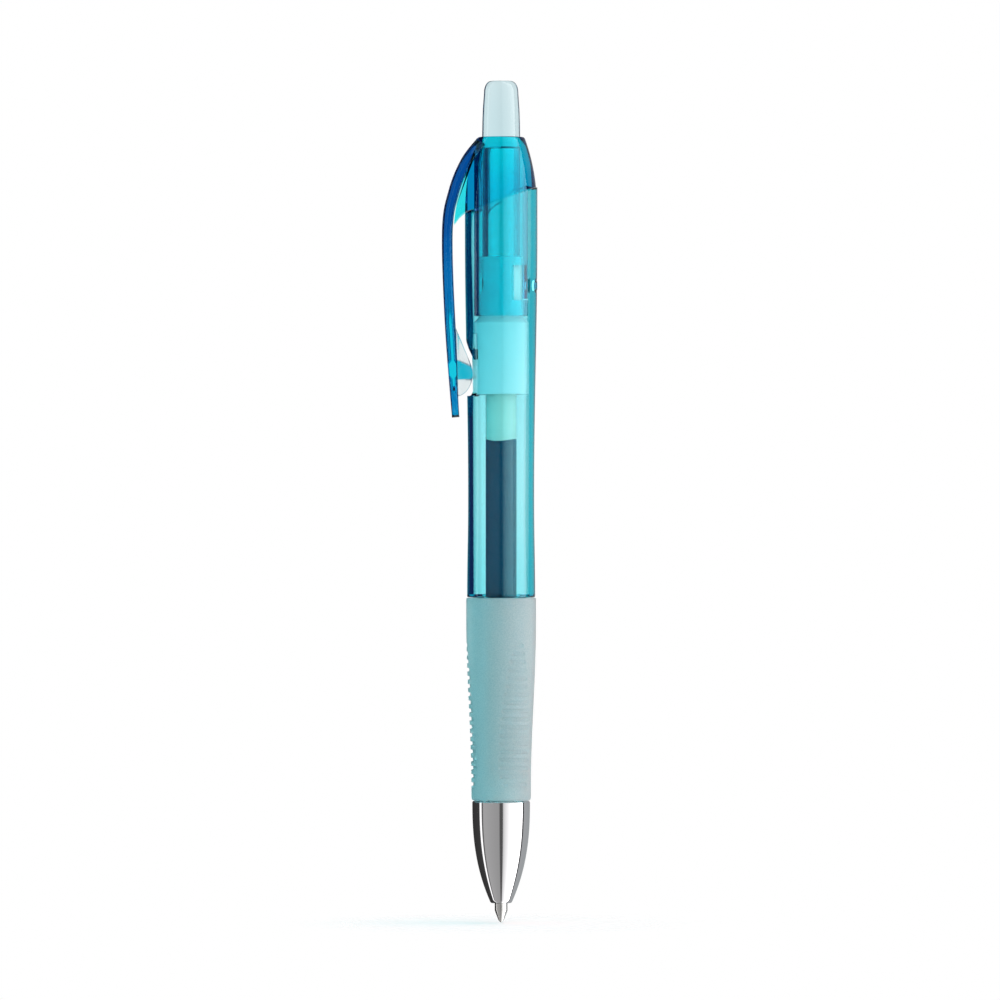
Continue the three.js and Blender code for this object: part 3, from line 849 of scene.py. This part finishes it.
def make_cap_and_root():
    """The cap with its spigot, its snap tongue and nub, and the hollow root of the clip."""
    foot = Z_JOINT - 4
    rim_r = BUTTON_R + BUTTON_GAP
    shell = turned("cap_and_clip_root", [
        (SPIGOT_BORE_R, foot),
        *[(cap_radius(z), z) for z in steps(foot, Z_CAP - 0.4, 40)],
        (cap_radius(Z_CAP) - 0.05, Z_CAP, 0.35),
        (rim_r, Z_CAP, 0.15),
        (rim_r, Z_CAP - 2.0),
        (SPIGOT_BORE_R, Z_CAP - 5.0),
    ])
    meet(shell, above_joint(0))
    spigot = turned("spigot", [
        (SPIGOT_BORE_R, Z_SPIGOT),
        (SPIGOT_R, Z_SPIGOT, 0.15),
        (SPIGOT_R, Z_JOINT + 3),
        (SPIGOT_BORE_R, Z_JOINT + 3),
    ])
    opening_half, tongue_half = 64, 25
    opening = sector(
        "opening", SPIGOT_BORE_R - 1, SPIGOT_R + 1, 0, opening_half, Z_SPIGOT + 2.7, Z_SPIGOT + 8.8, 32
    )
    cut(spigot, opening)
    tongue = sector("tongue", SPIGOT_BORE_R, SPIGOT_R, 0, tongue_half, Z_SPIGOT + 3, Z_SPIGOT + 9.5)
    nub = cross_pin("nub", NUB_R, SPIGOT_R - 0.3, BARREL_R - 0.02, Z_NUB, dome=0.25)
    web_width, hollow_width = 8.8, 7.6
    web = slab("web", web_outline(), web_width)
    hollow = slab("hollow", hollow_outline(), hollow_width)
    cut(web, hollow, rod("bore_tool", SPIGOT_BORE_R, 60, 200))
    join(shell, spigot, tongue, nub, web)
    place(shell, DEEP, "root", ["cap"], crease=30)


def make_clip_nose():
    """The clear nose inside the clip's end, and the tinted rib beside it."""
    tip_x, tip_z = -BORE_R + 0.02, WINDOW_HIGH - 2.5
    base = -7.9
    lobe = smooth_curve([
        (base, tip_z + 8.0),
        (tip_x - 0.55, tip_z + 2.2),
        (tip_x - 0.18, tip_z + 1.2),
        (tip_x, tip_z),
        (tip_x - 0.1, tip_z - 0.8),
        (tip_x - 0.4, tip_z - 1.8),
        (tip_x - 0.95, tip_z - 2.8),
        (tip_x - 1.7, tip_z - 3.5),
        (base + 0.35, tip_z - 3.9),
    ], 5)
    nose_width, rib_width = 1.7, 3.4
    nose = slab("clip_nose", lobe, nose_width, bevel=0.15)
    nose.data.transform(Matrix.Translation((0, -1.75, 0)))
    place(nose, PALE, "clip", [])
    rib = slab("clip_rib", [
        (base, tip_z + 2.6),
        (tip_x - 0.75, tip_z + 1.4),
        (tip_x - 0.12, tip_z + 0.75),
        (tip_x, tip_z),
        (tip_x - 0.12, tip_z - 0.5),
        (tip_x - 0.75, tip_z - 0.85),
        (base + 0.2, tip_z - 0.95),
    ], rib_width, bevel=0.2)
    rib.data.transform(Matrix.Translation((0, 0.85, 0)))
    place(rib, DEEP, "clip", [])


# -------------------- click mechanism


def make_push_button():
    """The button, solid above the cap and bored from below, with four guide ribs at its foot."""
    z_slim = Z_NECK - 9.6
    slim_r = 3.1
    rib_half = 21
    z_rib = Z_BUTTON + 0.6
    z_bore = Z_CAP - 2.2
    flat_r, corner_r, corner_height = 1.8, 1.2, 2
    rounding = [
        (flat_r + corner_r * math.cos(a), Z_TOP - corner_height + corner_height * math.sin(a))
        for a in (math.radians(degrees) for degrees in range(85, -1, -5))
    ]
    obj = turned("button_shell", [
        (0, Z_TOP),
        (flat_r, Z_TOP),
        *rounding,
        (3.08, Z_TOP - 3.2),
        (3.2, Z_TOP - 4.8),
        (3.28, Z_TOP - 7),
        (BUTTON_R, Z_CAP),
        (BUTTON_R, z_slim),
        (slim_r, z_slim - 0.3),
        (slim_r, z_rib),
        (BUTTON_BORE_R, z_rib),
        (BUTTON_BORE_R, z_bore, 0.2),
        (0, z_bore),
    ])
    for i in range(4):
        rib = sector(f"button_rib_{i}", 3.0, ROTOR_R, 90 * i + 45, rib_half, z_rib + 0.02, z_rib + 0.9, 8)
        join(obj, rib)
    place(obj, CLEAR, "button", ["push_button"])


def make_housing():
    """The milky housing: a wide sleeve with a keyway, and a neck with a shallow scoop."""
    inner_shoulder = Z_SHOULDER - 1.06
    obj = turned("click_housing", [
        (HOUSING_BORE_R, Z_HOUSING, 0.1),
        (HOUSING_R, Z_HOUSING, 0.15),
        (HOUSING_R, Z_SHOULDER - (HOUSING_R - NECK_R), 0.2),
        (NECK_R, Z_SHOULDER, 0.2),
        (NECK_R, Z_NECK, 0.1),
        (NECK_BORE_R, Z_NECK),
        (NECK_BORE_R, inner_shoulder),
        (HOUSING_BORE_R, inner_shoulder),
    ])
    keyway = sector(
        "keyway", HOUSING_BORE_R + 0.4, HOUSING_R + 1, 180, 40, Z_HOUSING + 2.7, Z_HOUSING + 10.6, 24
    )
    scoop_r, scoop_depth = 4, 1.1
    scoop = rod("scoop", scoop_r, -9, 9, 96)
    scoop.data.transform(Matrix.Rotation(math.pi / 2, 4, "X"))
    scoop.data.transform(Matrix.Translation((-NECK_R - scoop_r + scoop_depth, 0, Z_SHOULDER + 5.8)))
    cut(obj, keyway, face_out(scoop))
    place(obj, MILKY, "root", ["cam_housing"])


# -------------------- refill


def ripple(obj):
    """Make the level between ink and grease uneven."""
    height, turn = 0.16, 0.6
    for vertex in obj.data.vertices:
        x, y, z = vertex.co
        if abs(z - Z_MENISCUS) < 0.6:
            wave = math.cos(2 * math.atan2(y, x) + turn)
            vertex.co.z = z + height * math.hypot(x, y) / TUBE_BORE_R * wave


def make_refill():
    """The tube, with ink and grease that reach a hair into its wall, so that no air shows between them."""
    tube = turned("refill_tube_wall", [
        (TUBE_BORE_R, Z_TUBE),
        (TUBE_R, Z_TUBE, 0.1),
        (TUBE_R, Z_TUBE_TOP, 0.1),
        (TUBE_BORE_R, Z_TUBE_TOP),
    ])
    place(tube, TUBE, "refill", ["refill_tube"])
    r = TUBE_BORE_R + 0.012
    dip = 0.35
    bowl = [(r * t, Z_MENISCUS - dip * (1 - t**3)) for t in steps(0, 1, 8)]
    ink = turned("ink_gel", [(0, Z_INK), (r, Z_INK), *reversed(bowl)])
    ripple(ink)
    place(ink, INK, "refill", ["ink_column"], crease=60)
    lifted = [(x, z + 0.02) for x, z in bowl]
    grease = turned("grease_plug", [*lifted, (r, Z_FOLLOWER_TOP), (0, Z_FOLLOWER_TOP)])
    ripple(grease)
    place(grease, MINT, "refill", ["grease_follower"], crease=60)


def make_tip():
    """The turned metal point with its ink bore, and the ball in its seat."""
    seat_r = BALL_R + 0.02
    z_lip = 0.3
    feed_r = 0.22
    point = turned("metal_point", [
        (seat_r, z_lip),
        (seat_r + 0.07, z_lip, 0.03),
        (SHANK_R - 0.02, 2.0, 0.1),
        (SHANK_R, 2.15),
        (SHANK_R, Z_SHANK_TOP, 0.1),
        (INK_BORE_R, Z_SHANK_TOP),
        (INK_BORE_R, 2.6),
        (feed_r, 1.6),
        (feed_r, 0.85),
        (seat_r, 0.7),
    ], 96)
    place(point, TIP, "refill", ["writing_tip"])
    arc = [(BALL_R * math.sin(a), BALL_R - BALL_R * math.cos(a)) for a in steps(0, math.pi, 24)]
    ball = turned("ball", arc, 64)
    place(ball, TIP, "ball", ["writing_ball"], crease=60)


def make_spring():
    """Closed end turns and an open helix between them; the top end rides with the refill."""
    wire, coil = 0.22, 2.19
    turns, closed = 9, 1.1
    low, high = Z_SPRING + wire, Z_SPRING_TOP - wire
    rise = 2.2 * wire
    rings = []
    for turn in steps(0, turns, 40 * turns):
        opened = min(max((turn - closed) / (turns - 2 * closed), 0), 1)
        ends = (min(turn, closed) + max(turn - turns + closed, 0)) / closed
        z = low + rise * ends + (high - low - 2 * rise) * opened
        around = 2 * math.pi * turn
        section = [(coil + wire * math.cos(b), z + wire * math.sin(b)) for b in full_turn(10)]
        rings.append([polar(r, around, height) for r, height in section])
    spring = loft("spring_coil", rings)
    place(spring, WIRE, None, ["return_spring"])
    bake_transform(spring)


# -------------------- stage, light and camera

DARK = (0.002, 0.02, 0.1)  # the unlit part of the room
WHITE = (1, 1, 1, 1)

# Brightness around the pen, as (degrees from the front, positive to the right, brightness).
# STUDIO_LIGHT, seen from the left: a dark gap behind, a thin bright strip, a grey wall, a gap in front,
# a softbox that grows brighter, a dark edge and a grey wall.
STUDIO_LIGHT = [
    (-180, 0.03), (-98, 0.05), (-94, 1.5), (-87, 1.5), (-85, 0.1), (-80, 0.1), (-77, 0.45), (-8, 0.36),
    (-5, 0.1), (6, 0.1), (9, 0.7), (18, 0.95), (30, 1.2), (44, 1.5), (84, 3.4), (94, 3.4), (96, 0.04),
    (102, 0.04), (106, (0.42, 0.44, 0.45)), (180, (0.35, 0.37, 0.38)),
]
# The backdrop, as seen through the clear plastic: white all round but for a dark gap on each side
BACK_LIGHT = [
    (-180, 0.97), (-119, 0.97), (-115, DARK), (-100, DARK), (-93, 0.9), (98, 0.9), (101, DARK), (118, DARK),
    (122, 0.97), (180, 0.97),
]
# The studio, as seen by light that bounced inside the clear plastic
INNER_LIGHT = [
    (-180, DARK), (-112, DARK), (-106, 0.12), (-90, 0.15), (-84, 0.3), (-8, 0.3), (-5, 0.1), (6, 0.1),
    (9, 0.8), (16, 1.1), (30, 1.8), (44, 2.4), (84, 2.8), (94, 2.8), (98, (0.05, 0.58, 0.64)),
    (180, (0.05, 0.66, 0.72)),
]
# The same room as a matt surface gathers it, cooler on the left
SOFT_LIGHT = [
    (-180, (0.7, 0.85, 0.85)), (-90, (0.3, 0.75, 0.8)), (-10, (0.5, 0.85, 0.9)), (10, (1.1, 1.25, 1.25)),
    (90, (2.0, 1.0, 0.96)), (120, (1.0, 0.9, 0.9)), (180, (0.7, 0.85, 0.85)),
]
# Makes up for light that cannot find its way back out through many clear surfaces
INNER_GAIN = 3.2
MANY_SURFACES = 8


def band_ramp(tree, around, light):
    """The colour of a list of light at a place around the pen, where 0 and 1 are straight behind it."""
    ramp = tree.nodes.new("ShaderNodeValToRGB")
    elements = ramp.color_ramp.elements
    elements.remove(elements[-1])
    for i, (degrees, value) in enumerate(light):
        where = (degrees + 180) / 360
        element = elements[0] if i == 0 else elements.new(where)
        element.position = where
        element.color = (*value, 1) if isinstance(value, tuple) else (value, value, value, 1)
    tree.links.new(around, ramp.inputs["Fac"])
    return ramp.outputs["Color"]


def make_world():
    """Studio light from all round, which depends on what the light has met on its way."""
    world = bpy.data.worlds.new("studio")
    world.use_nodes = True
    world.cycles.sampling_method = "NONE"
    tree = world.node_tree
    direction = tree.nodes.new("ShaderNodeTexCoord")
    split = tree.nodes.new("ShaderNodeSeparateXYZ")
    tree.links.new(direction.outputs["Generated"], split.inputs["Vector"])
    to_front = calculate(tree, "MULTIPLY", split.outputs["Y"], -1)
    turn = calculate(tree, "ARCTAN2", split.outputs["X"], to_front)
    around = remap(tree, turn, 0, 1, -math.pi, math.pi)

    path = tree.nodes.new("ShaderNodeLightPath")
    passed = path.outputs["Transmission Depth"]
    bounced = calculate(tree, "GREATER_THAN", path.outputs["Glossy Depth"], 0.5)
    spread = calculate(tree, "GREATER_THAN", path.outputs["Diffuse Depth"], 0.5)

    # what the camera sees directly is plain white, and what it sees through the pen is the backdrop
    behind = mix_colours(tree, passed, WHITE, band_ramp(tree, around, BACK_LIGHT))
    studio = band_ramp(tree, around, STUDIO_LIGHT)
    reflected = mix_colours(tree, passed, studio, band_ramp(tree, around, INNER_LIGHT))
    sharp = mix_colours(tree, bounced, behind, reflected)

    soft = tree.nodes.new("ShaderNodeVectorMath")
    soft.operation = "SCALE"
    tree.links.new(band_ramp(tree, around, SOFT_LIGHT), soft.inputs[0])
    tree.links.new(remap(tree, passed, 1, INNER_GAIN, 0, MANY_SURFACES), soft.inputs["Scale"])
    seen = mix_colours(tree, spread, sharp, soft.outputs["Vector"])
    tree.links.new(seen, tree.nodes["Background"].inputs["Color"])
    bpy.context.scene.world = world


def make_floor():
    """A small pale floor that fades out at its edge."""
    size, fade_start, fade_end = 45 * MM, 4 * MM, 40 * MM
    bpy.ops.mesh.primitive_circle_add(
        vertices=96, radius=size, fill_type="NGON", location=(AXIS_X, 0, -0.2 * MM)
    )
    floor = bpy.context.object
    floor.name = "floor"
    material, shader, tree = principled("floor_paint", (0.9, 0.9, 0.9), 0.8)
    where = tree.nodes.new("ShaderNodeTexCoord")
    away = tree.nodes.new("ShaderNodeVectorMath")
    away.operation = "LENGTH"
    tree.links.new(where.outputs["Object"], away.inputs[0])
    fade = remap(tree, away.outputs["Value"], 1, 0, fade_start, fade_end, "SMOOTHSTEP")
    tree.links.new(fade, shader.inputs["Alpha"])
    shader.inputs["Emission Color"].default_value = WHITE
    shader.inputs["Emission Strength"].default_value = 0.22
    floor.data.materials.append(material)
    floor.visible_glossy = False


def make_camera():
    """Level with the pen's middle, straight in front, with a long lens."""
    view_width = 175 * MM
    data = bpy.data.cameras.new("camera")
    data.sensor_width = 36
    data.lens = 300
    data.clip_start = 0.05
    data.clip_end = 20
    camera = bpy.data.objects.new("camera", data)
    bpy.context.scene.collection.objects.link(camera)
    distance = view_width * data.lens / data.sensor_width
    camera.location = (AXIS_X - 0.2 * MM, -distance, 73.9 * MM)
    camera.rotation_euler = (math.pi / 2, 0, 0)
    bpy.context.scene.camera = camera


def render_settings():
    """Enough bounces for light to pass through all the walls of clear plastic."""
    scene = bpy.context.scene
    scene.view_settings.view_transform = "Standard"
    scene.cycles.max_bounces = 40
    scene.cycles.transmission_bounces = 40
    scene.cycles.glossy_bounces = 16
    scene.cycles.diffuse_bounces = 6
    scene.cycles.transparent_max_bounces = 16
    scene.cycles.sample_clamp_indirect = 8


make_camera()
make_world()
make_floor()
render_settings()

make_nose_cone()
make_grip()
make_barrel()
make_cap_and_root()
make_clip_skin()
make_clip_nose()
make_push_button()
make_housing()
make_refill()
make_tip()
make_spring()

for node in ("cam_rotor", "tip_holder"):
    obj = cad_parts[node]
    obj.data.materials.clear()
    obj.data.materials.append(MILKY)
